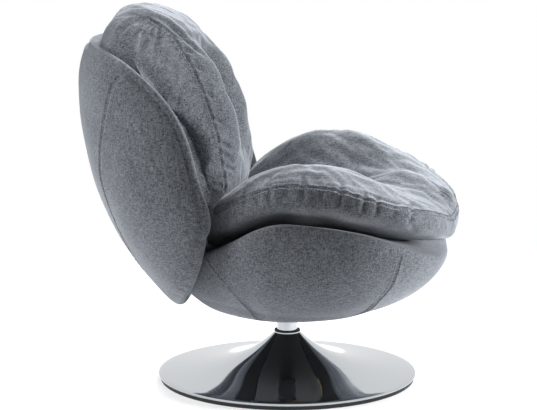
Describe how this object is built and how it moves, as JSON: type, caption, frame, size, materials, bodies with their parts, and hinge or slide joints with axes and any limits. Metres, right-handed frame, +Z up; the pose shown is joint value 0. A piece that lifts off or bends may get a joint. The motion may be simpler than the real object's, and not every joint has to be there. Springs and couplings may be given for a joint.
{
  "type": "swivel armchair",
  "caption": "Low swivel lounge chair with a wrap-round padded back, a lobed seat cushion on a padded hull, and a round chromed trumpet base.",
  "frame": {"origin": "on the floor, on the swivel axis, at the middle of the floor pad's lower face", "axes": "+Z up along the swivel axis; -Y is the way the sitter faces at rest; +X is the sitter's left"},
  "size_m": [0.7044, 0.7826, 0.7778],
  "materials": {
    "chrome": "polished",
    "black_steel": "satin black powder coat",
    "black_rubber": "matte",
    "black_foam": "matte closed-cell sheet",
    "white_nylon": "matte",
    "zinc_steel": "zinc plated",
    "ground_steel": "ground",
    "brass": "satin",
    "beech": "raw planed",
    "plywood": "raw",
    "black_nonwoven": "matte felted",
    "grey_chenille": "soft short pile"
  },
  "bodies": {
    "base": {"floor_pad": "black_foam", "base_plate": "black_steel", "rim_gasket": "black_rubber", "base_cover": "chrome", "column_flange": "black_steel", "flange_screw_1": "zinc_steel", "flange_screw_2": "zinc_steel", "flange_screw_3": "zinc_steel", "flange_screw_4": "zinc_steel", "column_tube": "chrome", "neck_ring": "black_rubber", "lower_bush": "white_nylon", "upper_bush": "white_nylon", "lower_race": "ground_steel"},
    "bearing": {"ball_cage": "brass", "bearing_ball_1": "ground_steel", "bearing_ball_2": "ground_steel", "bearing_ball_3": "ground_steel", "bearing_ball_4": "ground_steel", "bearing_ball_5": "ground_steel", "bearing_ball_6": "ground_steel", "bearing_ball_7": "ground_steel", "bearing_ball_8": "ground_steel"},
    "seat": {"upper_race": "ground_steel", "swivel_spindle": "ground_steel", "spindle_clip": "zinc_steel", "swivel_plate": "black_steel", "plate_bolt_1": "black_steel", "plate_bolt_2": "black_steel", "plate_bolt_3": "black_steel", "plate_bolt_4": "black_steel", "seat_rail_left": "beech", "seat_rail_right": "beech", "rail_insert_1": "brass", "rail_insert_2": "brass", "rail_insert_3": "brass", "rail_insert_4": "brass", "seat_board": "plywood", "bottom_cloth": "black_nonwoven", "back_board": "plywood", "back_bracket": "black_steel", "bracket_screw_1": "zinc_steel", "bracket_screw_2": "zinc_steel", "bracket_screw_3": "zinc_steel", "bracket_screw_4": "zinc_steel", "bracket_screw_5": "zinc_steel", "bracket_screw_6": "zinc_steel", "bracket_screw_7": "zinc_steel", "bracket_screw_8": "zinc_steel", "back_shell": "grey_chenille", "seat_shell": "grey_chenille", "seat_cushion": "grey_chenille", "back_cushion": "grey_chenille"}
  },
  "joints": [
    {"name": "swivel", "type": "hinge", "parent": "base", "child": "seat", "pos_m": [0, 0, 0], "axis": [0, 0, 1], "continuous": true},
    {"name": "cage_roll", "type": "hinge", "parent": "base", "child": "bearing", "pos_m": [0, 0, 0], "axis": [0, 0, 1], "continuous": true}
  ],
  "couplings": [
    {"joint": "cage_roll", "follows": "swivel", "ratio": 0.5}
  ]
}
